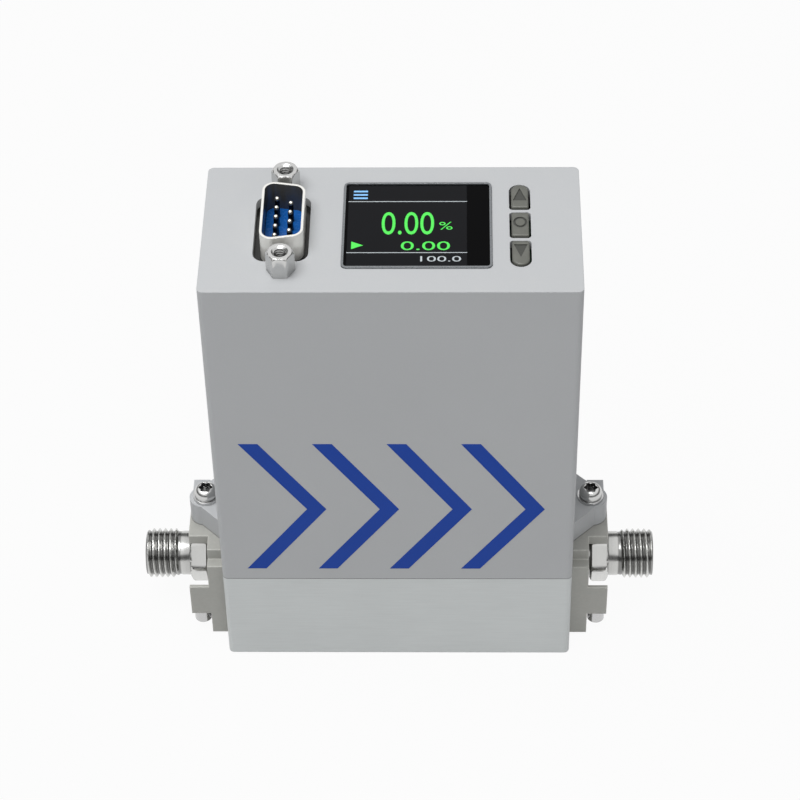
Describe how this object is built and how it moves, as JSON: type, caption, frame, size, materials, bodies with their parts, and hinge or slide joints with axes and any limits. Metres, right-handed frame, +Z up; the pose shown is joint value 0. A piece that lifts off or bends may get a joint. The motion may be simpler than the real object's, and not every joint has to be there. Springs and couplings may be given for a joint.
{
  "type": "mass flow controller",
  "caption": "Mass flow controller: a flow block with a threaded tube fitting at each end, under a tall cover with a display, push keys and a plug connector.",
  "frame": {"origin": "centre of the base block's underside", "axes": "+X along the flow from inlet to outlet, -Y the front face, +Z up"},
  "size_m": [0.1136, 0.038, 0.114],
  "materials": {
    "base_metal": "fine bead-blasted, clear anodised",
    "block_metal": "cast, satin grey",
    "fitting_steel": "turned, bright",
    "screw_steel": "plated, bright",
    "seal_rubber": "matt",
    "cover_paint": "fine satin silver-grey paint",
    "dark_plastic": "moulded, satin",
    "white_plastic": "moulded, satin",
    "board_green": "solder mask, gloss",
    "brass": "turned",
    "coil_tape": "wound and taped",
    "yoke_plate": "zinc plated",
    "panel_glass": "dark, gloss",
    "window_glass": "dark, gloss, display showing through",
    "bezel_metal": "bright edge",
    "key_plastic": "moulded, satin grey",
    "shell_plate": "nickel plated",
    "insert_blue": "moulded, gloss blue",
    "pin_gold": "plated pins"
  },
  "bodies": {
    "controller": {"base_block": "base_metal", "inlet_block": "block_metal", "outlet_block": "block_metal", "inlet_fitting": "fitting_steel", "outlet_fitting": "fitting_steel", "fitting_seals": "seal_rubber", "block_screws": "screw_steel", "lug_screws": "screw_steel", "flow_screen": "fitting_steel", "flow_element": "fitting_steel", "cover": "cover_paint", "cover_screws": "screw_steel", "cover_washers": "screw_steel", "sensor_body": "dark_plastic", "sensor_chip": "board_green", "sensor_seals": "seal_rubber", "sensor_screws": "screw_steel", "valve_seal": "seal_rubber", "valve_seat": "brass", "valve_body": "fitting_steel", "valve_spring": "screw_steel", "valve_coil": "coil_tape", "valve_yoke": "yoke_plate", "valve_nut": "screw_steel", "valve_screws": "screw_steel", "main_board": "board_green", "main_board_screws": "screw_steel", "board_header": "dark_plastic", "display_board": "board_green", "display_board_screws": "screw_steel", "display_panel": "panel_glass", "display_holder": "white_plastic", "display_bezel": "bezel_metal", "window": "window_glass", "key_switches": "dark_plastic", "connector_shell": "shell_plate", "connector_insert": "insert_blue", "connector_pins": "pin_gold", "jack_screws": "shell_plate"},
    "key_up": {"key_up": "key_plastic"},
    "key_set": {"key_set": "key_plastic"},
    "key_down": {"key_down": "key_plastic"},
    "plunger": {"valve_plunger": "fitting_steel"}
  },
  "joints": [
    {"name": "key_up_press", "type": "slide", "parent": "controller", "child": "key_up", "axis": [0, 0, -1], "range_m": [0, 0.0005], "stiffness_N_per_m": 800},
    {"name": "key_set_press", "type": "slide", "parent": "controller", "child": "key_set", "axis": [0, 0, -1], "range_m": [0, 0.0005], "stiffness_N_per_m": 800},
    {"name": "key_down_press", "type": "slide", "parent": "controller", "child": "key_down", "axis": [0, 0, -1], "range_m": [0, 0.0005], "stiffness_N_per_m": 800},
    {"name": "plunger_lift", "type": "slide", "parent": "controller", "child": "plunger", "axis": [0, 0, 1], "range_m": [0, 0.0004], "stiffness_N_per_m": 800, "deforming": ["valve_spring"]}
  ]
}
